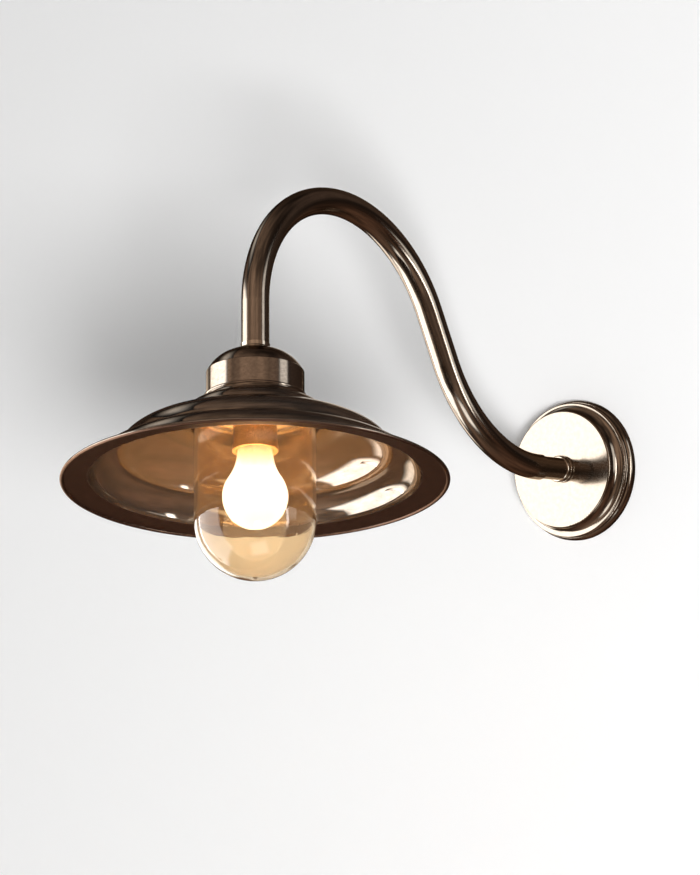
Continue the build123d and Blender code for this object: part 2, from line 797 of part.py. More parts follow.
# Shade: one spinning with a rolled rim, a shallow brim and three coved steps. Each cove
# leaves its lip straight up and curls in to lie level under the next lip.
bead_centre_radius = shade_radius - rim_bead_radius


def cove(outer_radius, inner_radius, low, high, skin):
    """Quarter ellipse from a lip up to the next, moved out by the skin for the top side."""
    return EllipticalCenterArc(
        (inner_radius + skin, low), outer_radius - inner_radius, high + skin - low
    )


with BuildPart() as shade:
    with BuildSketch(lamp_profile):
        with BuildLine():
            Line((bead_centre_radius, 0), (brim_lip_radius, brim_lip_height))
            cove(brim_lip_radius, step_two_radius, brim_lip_height, step_two_height, 0)
            cove(step_two_radius, step_three_radius, step_two_height, step_three_height, 0)
            cove(step_three_radius, neck_radius, step_three_height, neck_height, 0)
            Polyline(
                (neck_radius, neck_height),
                (shade_hole_radius, neck_height),
                (shade_hole_radius, shade_top),
                (neck_radius + shade_skin, shade_top),
            )
            cove(step_three_radius, neck_radius, step_three_height, neck_height, shade_skin)
            Line(
                (step_three_radius + shade_skin, step_three_height),
                (step_three_radius + shade_skin, step_three_height + shade_skin),
            )
            cove(step_two_radius, step_three_radius, step_two_height, step_three_height, shade_skin)
            Line(
                (step_two_radius + shade_skin, step_two_height),
                (step_two_radius + shade_skin, step_two_height + shade_skin),
            )
            cove(brim_lip_radius, step_two_radius, brim_lip_height, step_two_height, shade_skin)
            Polyline(
                (brim_lip_radius + shade_skin, brim_lip_height),
                (brim_lip_radius + shade_skin, brim_lip_height + shade_skin),
                (bead_centre_radius, shade_skin),
                (bead_centre_radius, 0),
            )
        make_face()
        with Locations((bead_centre_radius, shade_skin / 2)):
            Circle(rim_bead_radius)
    revolve(axis=lamp_axis)
    with BuildSketch(lamp_plane(neck_height)):
        with PolarLocations(gallery_screw_circle, gallery_screw_count):
            Circle(gallery_screw_radius + fit_gap)
    extrude(amount=shade_skin, mode=Mode.SUBTRACT)
shade.part.label = "shade"
export_step(shade.part, "parts/shade.step")

# Gallery: pressed plate under the shade's top, stepped down to a threaded skirt.
plate_bottom = neck_height - gallery_plate
seat_top = neck_height - gallery_drop
seat_bottom = seat_top - gallery_plate
skirt_bottom = seat_bottom - gallery_skirt_length
skirt_inner = gallery_skirt_radius - gallery_skirt_wall
cone_radius = gallery_flat_radius + gallery_drop
with BuildPart() as gallery:
    with BuildSketch(lamp_profile):
        with BuildLine():
            Polyline(
                (gallery_hole_radius, neck_height),
                (gallery_flat_radius, neck_height),
                (cone_radius, seat_top),
                (gallery_skirt_radius, seat_top),
                (gallery_skirt_radius, skirt_bottom),
                (skirt_inner, skirt_bottom),
                (skirt_inner, seat_bottom),
                (cone_radius - gallery_plate / 2, seat_bottom),
                (gallery_flat_radius - gallery_plate / 2, plate_bottom),
                (gallery_hole_radius, plate_bottom),
                close=True,
            )
        make_face()
    revolve(axis=lamp_axis)
    with BuildSketch(lamp_plane(plate_bottom)):
        with PolarLocations(gallery_screw_circle, gallery_screw_count):
            Circle(gallery_screw_radius + fit_gap)
    extrude(amount=gallery_plate, mode=Mode.SUBTRACT)
gallery.part.label = "gallery"
export_step(gallery.part, "parts/gallery.step")

# Gallery screws: three pan-headed screws up through gallery, shade and cap flange.
nut_seat = shade_top + cap_skin
with BuildPart() as gallery_screws:
    with BuildSketch(lamp_plane(plate_bottom - gallery_head_height)):
        with PolarLocations(gallery_screw_circle, gallery_screw_count):
            Circle(gallery_head_radius)
    extrude(amount=gallery_head_height)
    with BuildSketch(lamp_plane(plate_bottom)):
        with PolarLocations(gallery_screw_circle, gallery_screw_count):
            Circle(gallery_screw_radius)
    extrude(amount=nut_seat + gallery_nut_height + fit_gap - plate_bottom)
    with BuildSketch(lamp_plane(plate_bottom - gallery_head_height)):
        with PolarLocations(gallery_screw_circle, gallery_screw_count):
            Rectangle(gallery_screw_slot, 2 * gallery_head_radius + cutter_overrun)
    extrude(amount=gallery_head_height / 2, mode=Mode.SUBTRACT)
gallery_screws.part.label = "gallery_screws"
export_step(gallery_screws.part, "parts/gallery_screws.step")

# Gallery nuts: three hexagonal nuts on the cap's flange.
with BuildPart() as gallery_nuts:
    with BuildSketch(lamp_plane(nut_seat)):
        with PolarLocations(gallery_screw_circle, gallery_screw_count):
            RegularPolygon(gallery_nut_flats / 2, 6, major_radius=False)
            Circle(gallery_screw_radius + fit_gap, mode=Mode.SUBTRACT)
    extrude(amount=gallery_nut_height)
gallery_nuts.part.label = "gallery_nuts"
export_step(gallery_nuts.part, "parts/gallery_nuts.step")

# Glass gasket: flat rubber ring between the gallery's seat and the jar's lip.
gasket_bottom = seat_bottom - gasket_thickness
with BuildPart() as glass_gasket:
    with BuildSketch(lamp_plane(gasket_bottom)):
        Circle(gasket_outer_radius)
        Circle(gasket_inner_radius, mode=Mode.SUBTRACT)
    extrude(amount=gasket_thickness)
glass_gasket.part.label = "glass_gasket"
export_step(glass_gasket.part, "parts/glass_gasket.step")

# ======== glass ========

# Glass jar: blown jar with a thick lip, straight sides and a full round bottom. The
# bottom is two tangent arcs, a tighter shoulder and a broad end.
lip_bottom = gasket_bottom - glass_lip_height
glass_bottom_start = gasket_bottom - glass_side_length


def jar_bottom(radius, depth, shoulder):
    """Points of two tangent arcs, from the jar's side down to its lowest point."""
    side_offset = radius - shoulder
    drop = depth - shoulder
    rise = (side_offset**2 - drop**2) / (2 * drop)
    end_radius = rise + depth
    lean = asin(side_offset / (end_radius - shoulder))
    meet_radius = end_radius * sin(lean)
    meet_height = glass_bottom_start + rise - end_radius * cos(lean)
    half_lean = lean / 2
    end_mid = (
        end_radius * sin(half_lean),
        glass_bottom_start + rise - end_radius * cos(half_lean),
    )
    shoulder_angle = (lean + radians(90)) / 2
    shoulder_mid = (
        side_offset + shoulder * sin(shoulder_angle),
        glass_bottom_start - shoulder * cos(shoulder_angle),
    )
    lowest = (0, glass_bottom_start - depth)
    return (radius, glass_bottom_start), shoulder_mid, (meet_radius, meet_height), end_mid, lowest


outer_side, outer_mid, outer_meet, outer_end, outer_low = jar_bottom(
    glass_radius, glass_bottom_depth, glass_shoulder_radius
)
inner_side, inner_mid, inner_meet, inner_end, inner_low = jar_bottom(
    glass_radius - glass_wall, glass_bottom_depth - glass_wall, glass_shoulder_radius - glass_wall
)
with BuildPart() as glass_jar:
    with BuildSketch(lamp_profile):
        with BuildLine():
            ThreePointArc(outer_low, outer_end, outer_meet)
            ThreePointArc(outer_meet, outer_mid, outer_side)
            Polyline(
                outer_side,
                (glass_radius, lip_bottom),
                (glass_lip_radius, lip_bottom),
                (glass_lip_radius, gasket_bottom),
                (glass_radius - glass_wall, gasket_bottom),
                inner_side,
            )
            ThreePointArc(inner_side, inner_mid, inner_meet)
            ThreePointArc(inner_meet, inner_end, inner_low)
            Line(inner_low, outer_low)
        make_face()
    revolve(axis=lamp_axis)
glass_jar.part.label = "glass_jar"
export_step(glass_jar.part, "parts/glass_jar.step")

# Glass ring: threaded ring that screws up over the gallery and carries the jar's lip on
# its shelf. A row of shallow flutes below gives the fingers a grip.
thread_bore = gallery_skirt_radius + fit_gap
shelf_top = lip_bottom - fit_gap
shelf_bottom = shelf_top - ring_shelf
grip_bottom = shelf_bottom - ring_grip_length
ring_bore = glass_radius + loose_gap
with BuildPart() as glass_ring:
    with BuildSketch(lamp_profile):
        with BuildLine():
            Polyline(
                (ring_bore, grip_bottom),
                (ring_grip_radius, grip_bottom),
                (ring_grip_radius, shelf_bottom),
                (thread_bore + ring_wall, shelf_bottom),
                (thread_bore + ring_wall, skirt_bottom + ring_thread_overlap),
                (thread_bore, skirt_bottom + ring_thread_overlap),
                (thread_bore, shelf_top),
                (ring_bore, shelf_top),
                close=True,
            )
        make_face()
    revolve(axis=lamp_axis)
    with BuildSketch(lamp_plane(grip_bottom)):
        with PolarLocations(ring_grip_radius + ring_flute_radius - ring_flute_depth, ring_flute_count):
            Circle(ring_flute_radius)
    extrude(amount=ring_grip_length, mode=Mode.SUBTRACT)
glass_ring.part.label = "glass_ring"
export_step(glass_ring.part, "parts/glass_ring.step")

# ======== bulb ========

# Bulb glass: pear shape, a round body and a long neck that enters the screw cap.
body_centre = bulb_tip_height - bulb_length + bulb_radius
side_angle = radians(bulb_side_angle)
neck_angle = radians(bulb_side_angle - bulb_neck_turn)
cap_bottom = bulb_tip_height - bulb_contact_height - bulb_insulator_height - bulb_cap_crown
cap_bottom = cap_bottom - bulb_cap_length
seat_top_height = cap_bottom + bulb_seat_length


def bulb_outline(inset):
    """Half outline of the glass, from its lowest point to the neck's upper end."""
    body = bulb_radius - inset
    low = Vector(0, body_centre - body)
    side = Vector(body * cos(side_angle), body_centre + body * sin(side_angle))
    middle_angle = (side_angle - radians(90)) / 2
    middle = Vector(body * cos(middle_angle), body_centre + body * sin(middle_angle))
    curve = bulb_neck_curve + inset
    hub = side + Vector(cos(side_angle), sin(side_angle)) * curve
    neck = hub - Vector(cos(neck_angle), sin(neck_angle)) * curve
    turn_angle = (side_angle + neck_angle) / 2
    waist = hub - Vector(cos(turn_angle), sin(turn_angle)) * curve
    seat = Vector(bulb_seat_radius - inset, cap_bottom + inset)
    top = Vector(bulb_seat_radius - inset, seat_top_height)
    neck_top = neck + Vector(-sin(neck_angle), cos(neck_angle)) * bulb_neck_length
    return [(p.X, p.Y) for p in (low, middle, side, waist, neck, neck_top, seat, top)]


outer = bulb_outline(0)
inner = bulb_outline(bulb_glass_wall)
with BuildPart() as bulb_glass:
    with BuildSketch(lamp_profile):
        with BuildLine():
            ThreePointArc(outer[0], outer[1], outer[2])
            ThreePointArc(outer[2], outer[3], outer[4])
            Polyline(outer[4], outer[5], outer[6], outer[7], inner[7], inner[6], inner[5], inner[4])
            ThreePointArc(inner[4], inner[3], inner[2])
            ThreePointArc(inner[2], inner[1], inner[0])
            Line(inner[0], outer[0])
        make_face()
    revolve(axis=lamp_axis)
bulb_glass.part.label = "bulb_glass"
export_step(bulb_glass.part, "parts/bulb_glass.step")

# Bulb screw cap: thin pressed shell, crowned at the top.
crown_top = cap_bottom + bulb_cap_length + bulb_cap_crown
crown_radius = bulb_insulator_radius
with BuildPart() as bulb_cap:
    with BuildSketch(lamp_profile):
        with BuildLine():
            Polyline(
                (bulb_cap_radius, cap_bottom),
                (bulb_cap_radius, crown_top - bulb_cap_crown),
                (bulb_cap_radius - bulb_cap_shoulder, crown_top),
                (crown_radius, crown_top),
                (crown_radius, crown_top - bulb_cap_wall),
                (bulb_cap_radius - bulb_cap_shoulder - bulb_cap_wall / 2, crown_top - bulb_cap_wall),
                (bulb_cap_radius - bulb_cap_wall, crown_top - bulb_cap_crown),
                (bulb_cap_radius - bulb_cap_wall, cap_bottom),
                close=True,
            )
        make_face()
    revolve(axis=lamp_axis)
bulb_cap.part.label = "bulb_cap"
export_step(bulb_cap.part, "parts/bulb_cap.step")

# Bulb insulator: black glass cone between the screw cap and the end contact.
with BuildPart() as bulb_insulator:
    with BuildSketch(lamp_plane(crown_top)):
        Circle(bulb_insulator_foot)
    with BuildSketch(lamp_plane(crown_top + bulb_insulator_height)):
        Circle(bulb_contact_radius)
    loft()
bulb_insulator.part.label = "bulb_insulator"
export_step(bulb_insulator.part, "parts/bulb_insulator.step")

# Bulb contact: solder button at the tip.
contact_edge = bulb_contact_height / 2
with BuildPart() as bulb_contact:
    with BuildSketch(lamp_profile):
        with BuildLine():
            Polyline(
                (0, bulb_tip_height),
                (0, bulb_tip_height - bulb_contact_height),
                (bulb_contact_radius, bulb_tip_height - bulb_contact_height),
                (bulb_contact_radius, bulb_tip_height - contact_edge),
                (bulb_contact_radius - 2 * contact_edge, bulb_tip_height),
                close=True,
            )
        make_face()
    revolve(axis=lamp_axis)
bulb_contact.part.label = "bulb_contact"
export_step(bulb_contact.part, "parts/bulb_contact.step")

# Bulb stem: glass rod with a flare at its upper end, inside the neck.
flare_top = seat_top_height - loose_gap
stem_bottom = flare_top - stem_length
with BuildPart() as bulb_stem:
    with BuildSketch(lamp_profile):
        with BuildLine():
            Polyline(
                (0, stem_bottom),
                (stem_radius, stem_bottom),
                (stem_radius, flare_top - stem_flare_height),
                (stem_flare_radius, flare_top),
                (0, flare_top),
                close=True,
            )
        make_face()
    revolve(axis=lamp_axis)
bulb_stem.part.label = "bulb_stem"
export_step(bulb_stem.part, "parts/bulb_stem.step")

# Bulb filament: an open ring of coiled wire on two supports that leave the stem's foot.
filament_height = stem_bottom - filament_drop
filament_plane = lamp_plane(filament_height)
half_gap = radians(filament_gap_angle / 2)
with BuildPart() as bulb_filament:
    with BuildLine(filament_plane) as ring_line:
        CenterArc((0, 0), filament_ring_radius, filament_gap_angle / 2, 360 - filament_gap_angle)
    with BuildSketch(Plane(ring_line.line @ 0, z_dir=ring_line.line % 0)):
        Circle(filament_wire_radius)
    sweep(path=ring_line.line)
    for side in (-1, 1):
        with BuildLine() as support_line:
            Line(
                filament_plane.from_local_coords(
                    Vector(
                        filament_ring_radius * cos(half_gap),
                        side * filament_ring_radius * sin(half_gap),
                        -filament_wire_radius / 2,
                    )
                ),
                lamp_plane(stem_bottom).from_local_coords(
                    Vector(0, side * support_offset, support_embed)
                ),
            )
        with BuildSketch(Plane(support_line.line @ 0, z_dir=support_line.line % 0)):
            Circle(filament_wire_radius)
        sweep(path=support_line.line)
bulb_filament.part.label = "bulb_filament"
export_step(bulb_filament.part, "parts/bulb_filament.step")
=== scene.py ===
from math import asin, atan2, cos, pi, radians, sin

import bmesh
import bpy
from mathutils import Matrix, Vector
from mathutils.noise import random_unit_vector, seed_set


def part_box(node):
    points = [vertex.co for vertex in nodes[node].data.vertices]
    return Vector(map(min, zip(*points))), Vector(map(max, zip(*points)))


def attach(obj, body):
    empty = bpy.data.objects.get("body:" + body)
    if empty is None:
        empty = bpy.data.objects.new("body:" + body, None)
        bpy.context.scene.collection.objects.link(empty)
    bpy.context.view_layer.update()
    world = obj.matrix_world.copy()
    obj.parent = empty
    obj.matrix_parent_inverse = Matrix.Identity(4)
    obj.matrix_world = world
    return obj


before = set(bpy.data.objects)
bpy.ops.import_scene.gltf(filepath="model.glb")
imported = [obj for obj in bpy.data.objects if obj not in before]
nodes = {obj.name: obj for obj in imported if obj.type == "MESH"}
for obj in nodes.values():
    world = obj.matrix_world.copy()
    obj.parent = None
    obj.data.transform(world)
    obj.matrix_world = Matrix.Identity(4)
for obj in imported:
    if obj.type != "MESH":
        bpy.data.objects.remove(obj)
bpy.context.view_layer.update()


# Camera: a long lens, below the lamp and to its right, with the room's lines leaning a
# little, as the photograph has them. The sensor width lies along the picture's long side.
view_azimuth, view_elevation, view_roll = radians(37.9636), radians(-10.4655), radians(-7.2555)
camera_place = Vector((2.1089, -3.0709, -0.6227))
picture_long_side = 875
focal_pixels = 3692.8

backward = Vector((sin(view_azimuth) * cos(view_elevation), -cos(view_azimuth) * cos(view_elevation),
                   sin(view_elevation)))
level = Vector((cos(view_azimuth), sin(view_azimuth), 0))
upward = backward.cross(level)
rolled_right = cos(view_roll) * level + sin(view_roll) * upward
rolled_up = cos(view_roll) * upward - sin(view_roll) * level
camera_data = bpy.data.cameras.new("camera")
camera_data.sensor_width = 36
camera_data.lens = focal_pixels * camera_data.sensor_width / picture_long_side
camera_data.clip_end = 30
camera = bpy.data.objects.new("camera", camera_data)
camera.matrix_world = Matrix.Translation(camera_place) @ Matrix(
    (rolled_right, rolled_up, backward)).transposed().to_4x4()
bpy.context.scene.collection.objects.link(camera)
bpy.context.scene.camera = camera


# Room: a wall painted matt white with a roller, and a pale floor well below the lamp. Both
# are seen from the front only, so that a look from behind or below passes through them. The
# roller's stipple is drawn at 20 mm, as coarse as it needs to be to show.
wall_half, floor_level, room_depth = 4, -1.9, 3
wall_face = 0.0002  # just behind the mounting plate's back
stipple_size, stipple_depth = 0.020, 0.0005


def linear(hex_colour):
    """The linear colour that a shader's socket takes, from an sRGB hex value."""
    shares = [int(hex_colour[place:place + 2], 16) / 255 for place in (1, 3, 5)]
    return [s / 12.92 if s <= 0.04045 else ((s + 0.055) / 1.055) ** 2.4 for s in shares] + [1]


def add(material, kind, settings=None, links=None):
    """One more node, with its settings by name or number, and the outputs that feed it."""
    node = material.node_tree.nodes.new("ShaderNode" + kind)
    for name, value in (settings or {}).items():
        if isinstance(name, str) and hasattr(node, name):
            setattr(node, name, value)
        else:
            node.inputs[name].default_value = value
    for name, output in (links or {}).items():
        material.node_tree.links.new(output, node.inputs[name])
    return node


def blank(name):
    """A material with an empty node tree."""
    material = bpy.data.materials.new(name)
    material.use_nodes = True
    material.node_tree.nodes.clear()
    return material


def sheet_of_room(name, corners, material):
    """One flat face of the room, which the metal doesn't mirror: the world stands in for it."""
    mesh = bpy.data.meshes.new(name)
    mesh.from_pydata(corners, [], [(0, 1, 2, 3)])
    mesh.materials.append(material)
    face = bpy.data.objects.new(name, mesh)
    face.visible_glossy = False
    bpy.context.scene.collection.objects.link(face)


def one_sided(name, colour, own_light):
    """Matt paint, see-through from its back face, with a little light of its own to even it."""
    paint = blank(name)
    stipple = add(paint, "TexNoise", {"Scale": 2 * wall_half / stipple_size, "Detail": 3})
    relief = add(paint, "Bump", {"Strength": 0.05, "Distance": stipple_depth},
                 {"Height": stipple.outputs["Fac"]})
    matt = add(paint, "BsdfPrincipled", {"Base Color": linear(colour), "Roughness": 0.9,
                                         "Emission Color": linear(colour), "Emission Strength": own_light},
               {"Normal": relief.outputs["Normal"]})
    clear = add(paint, "BsdfTransparent")
    facing = add(paint, "NewGeometry")
    either = add(paint, "MixShader", {}, {0: facing.outputs["Backfacing"], 1: matt.outputs[0],
                                          2: clear.outputs[0]})
    add(paint, "OutputMaterial", {}, {"Surface": either.outputs[0]})
    return paint


wall_paint = one_sided("matt_white_wall_paint", "#F6F6F6", own_light=0.09)
floor_paint = one_sided("pale_sealed_floor", "#E9E9E9", own_light=0.05)
sheet_of_room("studio_wall",
              [(-wall_half, wall_face, floor_level), (wall_half, wall_face, floor_level),
               (wall_half, wall_face, wall_half), (-wall_half, wall_face, wall_half)], wall_paint)
sheet_of_room("studio_floor",
              [(-wall_half, -room_depth, floor_level), (wall_half, -room_depth, floor_level),
               (wall_half, wall_face, floor_level), (-wall_half, wall_face, floor_level)], floor_paint)


# World: a pale backdrop behind the room, a low even fill, and a dark brown studio that only
# the polished metal mirrors. The studio is darkest on the wall's side and brownest below
# there, and slow clutter breaks it up.
backdrop_colour, fill_strength, shown_strength = "#F7F7F7", 0.19, 1.0
world = bpy.data.worlds.new("studio_world")
world.use_nodes = True
bpy.context.scene.world = world
backdrop = world.node_tree.nodes["Background"]
path = add(world, "LightPath")
outlook = add(world, "TexCoord").outputs["Generated"]
direction = add(world, "SeparateXYZ", {}, {"Vector": outlook})
to_wall = add(world, "MapRange", {"From Min": -0.5, "From Max": 0.35}, {"Value": direction.outputs["Y"]})
room_to_wall = add(world, "ValToRGB", {}, {"Fac": to_wall.outputs["Result"]})
room_to_wall.color_ramp.elements[0].color = linear("#B09580")
room_to_wall.color_ramp.elements[1].color = linear("#57483F")
downward = add(world, "MapRange", {"From Min": 0.05, "From Max": -0.45}, {"Value": direction.outputs["Z"]})
low_behind = add(world, "Math", {"operation": "MULTIPLY"}, {0: downward.outputs["Result"],
                                                            1: to_wall.outputs["Result"]})
with_brown_foot = add(world, "MixRGB", {"Color2": linear("#6E5140")},
                      {"Fac": low_behind.outputs[0], "Color1": room_to_wall.outputs["Color"]})
clutter = add(world, "TexNoise", {"Scale": 1.8, "Detail": 2}, {"Vector": outlook})
unevenness = add(world, "MapRange", {"From Min": 0.38, "From Max": 0.62, "To Min": 0.35, "To Max": 1.5},
                 {"Value": clutter.outputs["Fac"]})
studio = add(world, "VectorMath", {"operation": "SCALE"}, {"Vector": with_brown_foot.outputs["Color"],
                                                           "Scale": unevenness.outputs["Result"]})
mirrored = add(world, "MixRGB", {"Color1": linear(backdrop_colour)},
               {"Fac": path.outputs["Is Glossy Ray"], "Color2": studio.outputs["Vector"]})
world.node_tree.links.new(mirrored.outputs["Color"], backdrop.inputs["Color"])
seen_or_mirrored = add(world, "Math", {"operation": "MAXIMUM"}, {0: path.outputs["Is Camera Ray"],
                                                                 1: path.outputs["Is Glossy Ray"]})
shown = add(world, "Math", {"operation": "MAXIMUM"}, {0: seen_or_mirrored.outputs[0],
                                                      1: path.outputs["Is Transmission Ray"]})
strength = add(world, "MapRange", {"To Min": fill_strength, "To Max": shown_strength},
               {"Value": shown.outputs[0]})
world.node_tree.links.new(strength.outputs["Result"], backdrop.inputs["Strength"])


# Key light: a soft white panel, below the lamp and to its right, so that its shadow falls
# up and to the left. The metal doesn't mirror it, since the cards below stand in for it.
aimed_at = Vector((0, -0.3, 0.02))
key_light = bpy.data.lights.new("key_below_right", "AREA")
key_light.shape, key_light.size, key_light.size_y = "RECTANGLE", 1.1, 1.1
key_light.energy = 240
key_light.color = linear("#FFFFFF")[:3]
key = bpy.data.objects.new("key_below_right", key_light)
key.location = (3.05, -3.75, -1.62)
key.rotation_mode = "QUATERNION"
key.rotation_quaternion = (aimed_at - Vector(key.location)).to_track_quat("-Z", "Y")
key.visible_camera = False
key.visible_glossy = False
bpy.context.scene.collection.objects.link(key)


# Cards: lit white cards with soft edges round the lamp, which only its reflections show.
# Each row gives a card's direction from the lamp in degrees, where zero looks from the wall
# into the room, then its distance, width and height in metres, its strength and its feather.
for name, azimuth, elevation, distance, width, height, card_strength, feather in (
        ("card_left_front", -56, -7, 1.6, 2.0, 3.0, 4.8, 0.12),
        ("strip_left", -78, -4, 1.4, 0.12, 1.8, 14, 0.3),
        ("card_left", -106, -5, 1.6, 0.9, 1.6, 3.6, 0.2),
        ("strip_right", 95, -8, 1.5, 0.26, 1.3, 12, 0.4),
        ("card_right_behind", 108, 8, 1.8, 0.8, 1.6, 1.8, 0.2),
        ("card_back_left", -148, 25, 1.6, 1.0, 0.8, 1.6, 0.5),
        ("card_front_low", 32, -60, 1.5, 0.9, 0.9, 3.2, 0.3),
        ("card_above", -75, 55, 1.5, 1.6, 0.6, 1.3, 0.5)):
    lit = blank(name)
    across = add(lit, "SeparateXYZ", {}, {"Vector": add(lit, "TexCoord").outputs["Generated"]})
    brightness = add(lit, "Value").outputs[0]
    brightness.default_value = card_strength
    for side in ("X", "Y"):
        from_edge = add(lit, "Math", {"operation": "PINGPONG", 1: 0.5}, {0: across.outputs[side]})
        fade = add(lit, "MapRange", {"interpolation_type": "SMOOTHSTEP", "From Max": feather},
                   {"Value": from_edge.outputs[0]})
        brightness = add(lit, "Math", {"operation": "MULTIPLY"},
                         {0: brightness, 1: fade.outputs["Result"]}).outputs[0]
    shine = add(lit, "Emission", {"Color": linear("#FFFCF8")}, {"Strength": brightness})
    add(lit, "OutputMaterial", {}, {"Surface": shine.outputs[0]})
    turn, rise = radians(azimuth), radians(elevation)
    towards = Vector((sin(turn) * cos(rise), -cos(turn) * cos(rise), sin(rise)))
    mesh = bpy.data.meshes.new(name)
    mesh.from_pydata([(x * width / 2, y * height / 2, 0) for x, y in ((-1, -1), (1, -1), (1, 1), (-1, 1))],
                     [], [(0, 1, 2, 3)])
    mesh.materials.append(lit)
    card = bpy.data.objects.new(name, mesh)
    card.location = aimed_at + towards * distance
    card.rotation_mode = "QUATERNION"
    card.rotation_quaternion = (-towards).to_track_quat("Z", "Y")
    card.visible_camera = card.visible_diffuse = card.visible_transmission = card.visible_shadow = False
    bpy.context.scene.collection.objects.link(card)


# Wall side and fixings: a pressed steel plate, its socket, and the screws, nuts and threaded
# stem of the whole lamp, all zinc plated and passivated. The zinc gives a cool grey skin in
# fine grains, a fifth of a millimetre across on the plate.
grain_share = 0.0015  # a grain's size over the piece's own


def wear(material, *node_names):
    """Puts a material on CAD nodes, in every slot that they have."""
    for node_name in node_names:
        mesh = nodes[node_name].data
        if not mesh.materials:
            mesh.materials.append(material)
        for place in range(len(mesh.materials)):
            mesh.materials[place] = material


def two_tone(material, factor, first, second):
    """A colour between two hex values."""
    ramp = add(material, "ValToRGB", {}, {"Fac": factor})
    ramp.color_ramp.elements[0].color = linear(first)
    ramp.color_ramp.elements[1].color = linear(second)
    return ramp.outputs["Color"]


def between(material, factor, low, high):
    """A plain number between two, for a socket such as roughness."""
    return add(material, "MapRange", {"To Min": low, "To Max": high}, {"Value": factor}).outputs["Result"]


def finish_with(material, settings, links):
    """The surface itself, and the material's output."""
    surface = add(material, "BsdfPrincipled", settings, links)
    add(material, "OutputMaterial", {}, {"Surface": surface.outputs[0]})


zinc = blank("zinc_plated_steel")
grains = add(zinc, "TexVoronoi", {"Scale": 1 / grain_share, "Randomness": 1})
grain_tone = add(zinc, "SeparateColor", {}, {"Color": grains.outputs["Color"]}).outputs["Red"]
finish_with(zinc, {"Metallic": 1},
            {"Base Color": two_tone(zinc, grain_tone, "#A9ACAD", "#C9CBC8"),
             "Roughness": between(zinc, grain_tone, 0.28, 0.42)})
wear(zinc, "mounting_plate", "arm_socket", "socket_screws", "earth_screw", "terminal_screws", "tube_plug",
     "gallery_screws", "gallery_nuts", "cap_nut", "holder_nut", "nipple", "earth_tag")


# Canopy, arm, cap and rings: nickel plate on spun or drawn brass, darkened brown in a bath
# and polished back. It mirrors the room in dark brown, cloudy in patches of 5 mm with finer
# tarnish, with painted shade in its seams, and with faint rings where the lathe's tool went round.
ring_pitch, ring_depth = 0.0016, 0.00002
rim_centre = Vector((0, -0.5157, -0.04101))
lamp_down = Vector((0, -0.18224, -0.98325))
lamp_tilt = asin(lamp_down.y)


def speckle(material, share, contrast, detail=4):
    """Uneven patches, from 0 to 1. The share is a patch's size over the piece's own, such as
    0.035 for 5 mm on the canopy's 143 mm."""
    cloud = add(material, "TexNoise", {"Scale": 1 / share, "Detail": detail, "Roughness": 0.6})
    return add(material, "MapRange", {"From Min": 0.5 - contrast, "From Max": 0.5 + contrast},
               {"Value": cloud.outputs["Fac"]}).outputs["Result"]


def lathe_place(material, centre, tilt):
    """Distance from the turning axis, and height along it, of each point of the surface."""
    point = add(material, "TexCoord").outputs["Object"]
    turned = add(material, "Mapping",
                 {"vector_type": "TEXTURE", "Location": centre, "Rotation": (tilt, 0, 0)},
                 {"Vector": point}).outputs["Vector"]
    flattened = add(material, "VectorMath", {"operation": "MULTIPLY", 1: (1, 1, 0)}, {0: turned})
    radius = add(material, "VectorMath", {"operation": "LENGTH"}, {0: flattened.outputs["Vector"]})
    height = add(material, "SeparateXYZ", {}, {"Vector": turned}).outputs["Z"]
    return add(material, "CombineXYZ", {}, {"X": radius.outputs["Value"], "Y": height}).outputs["Vector"]


def aged_nickel(name, dark="#827970", light="#9D948A", polish=(0.10, 0.17), centre=None, tilt=0.0,
                metallic=1.0):
    """The finish in the tones and polish of one piece. A piece that was turned has a centre
    and a tilt, and so it has rings."""
    nickel = blank(name)
    clouds = speckle(nickel, share=0.035, contrast=0.22)
    tarnish = speckle(nickel, share=0.0022, contrast=0.3, detail=2)
    mixed = add(nickel, "Mix", {"Factor": 0.22}, {"A": clouds, "B": tarnish}).outputs["Result"]
    # Painted shade: the colour darkens where the occlusion node finds the surface closed in, as in seams and
    # joints.
    painted_seam_shade = add(nickel, "AmbientOcclusion", {"Distance": 0.006, "samples": 4})
    unshaded_share = between(nickel, painted_seam_shade.outputs["AO"], 0.35, 1.0)
    tone = add(nickel, "Math", {"operation": "MULTIPLY"}, {0: mixed, 1: unshaded_share}).outputs[0]
    links = {"Base Color": two_tone(nickel, tone, dark, light),
             "Roughness": between(nickel, mixed, polish[1], polish[0])}
    if centre is not None:
        rings = add(nickel, "TexNoise", {"noise_dimensions": "2D", "Scale": 1 / ring_pitch, "Detail": 2},
                    {"Vector": lathe_place(nickel, centre, tilt)})
        relief = add(nickel, "Bump", {"Strength": 0.35, "Distance": ring_depth},
                     {"Height": rings.outputs["Fac"]})
        links["Normal"] = relief.outputs["Normal"]
    finish_with(nickel, {"Metallic": metallic, "Specular Tint": linear("#C4B8AC")}, links)
    return nickel


turned_on_wall = aged_nickel("aged_nickel_turned_on_wall_axis", "#8A8177", "#9A9186", (0.11, 0.15),
                             centre=(0, 0, 0), tilt=pi / 2)
wear(turned_on_wall, "canopy")
drawn = aged_nickel("aged_nickel_drawn_tube")
wear(drawn, "arm_stub", "arm_tube")
spun = aged_nickel("aged_nickel_spun", centre=rim_centre, tilt=lamp_tilt)
wear(spun, "cap", "glass_ring")
# The collars and the washer are a lighter copy of the nickel, a painted highlight so that they read as lit,
# and are polished smoother.
lighter_painted_rings = aged_nickel("aged_nickel_rings_painted_lighter", "#A39A8E", "#BDB4A8", (0.07, 0.12))
wear(lighter_painted_rings, "head_collar", "lock_collar", "canopy_washer")
